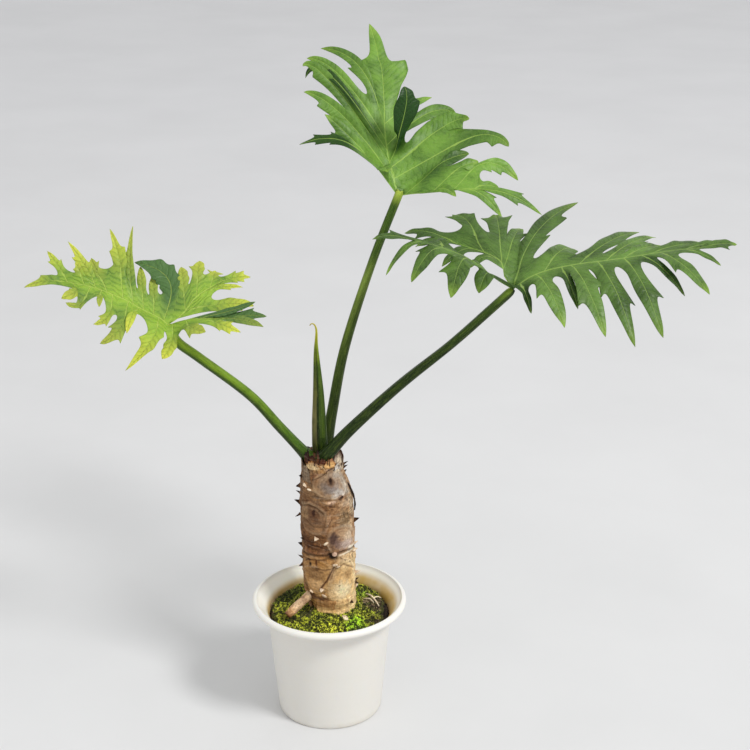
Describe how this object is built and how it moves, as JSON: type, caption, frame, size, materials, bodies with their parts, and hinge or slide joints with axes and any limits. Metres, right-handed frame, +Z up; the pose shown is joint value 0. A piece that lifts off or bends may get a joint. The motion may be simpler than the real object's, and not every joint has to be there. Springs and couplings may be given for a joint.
{
  "type": "potted lacy tree philodendron",
  "caption": "Lacy tree philodendron with deeply lobed leaves on long stalks and a rolled new leaf, on a scarred upright trunk in a round plastic nursery pot.",
  "frame": {"origin": "middle of the pot's base, on the surface that the pot stands on", "axes": "+Z up along the pot's axis, +X to the right of the picture, towards the long right leaf, and +Y to the back, across the plant's narrowest way"},
  "size_m": [0.8818, 0.4327, 0.897],
  "materials": {
    "cream_plastic": "satin",
    "dark_soil": "matte",
    "green_moss": "matte",
    "scarred_bark": "matte",
    "green_stalk": "satin",
    "green_leaf": "satin",
    "young_leaf": "satin"
  },
  "bodies": {
    "root": {"pot": "cream_plastic", "potting_mix": "dark_soil", "moss": "green_moss", "trunk": "scarred_bark", "petiole_left": "green_stalk", "petiole_right": "green_stalk", "petiole_top": "green_stalk", "new_leaf_spear": "green_stalk", "leaf_right": "green_leaf", "leaf_top": "green_leaf", "leaf_left": "young_leaf"}
  },
  "joints": []
}
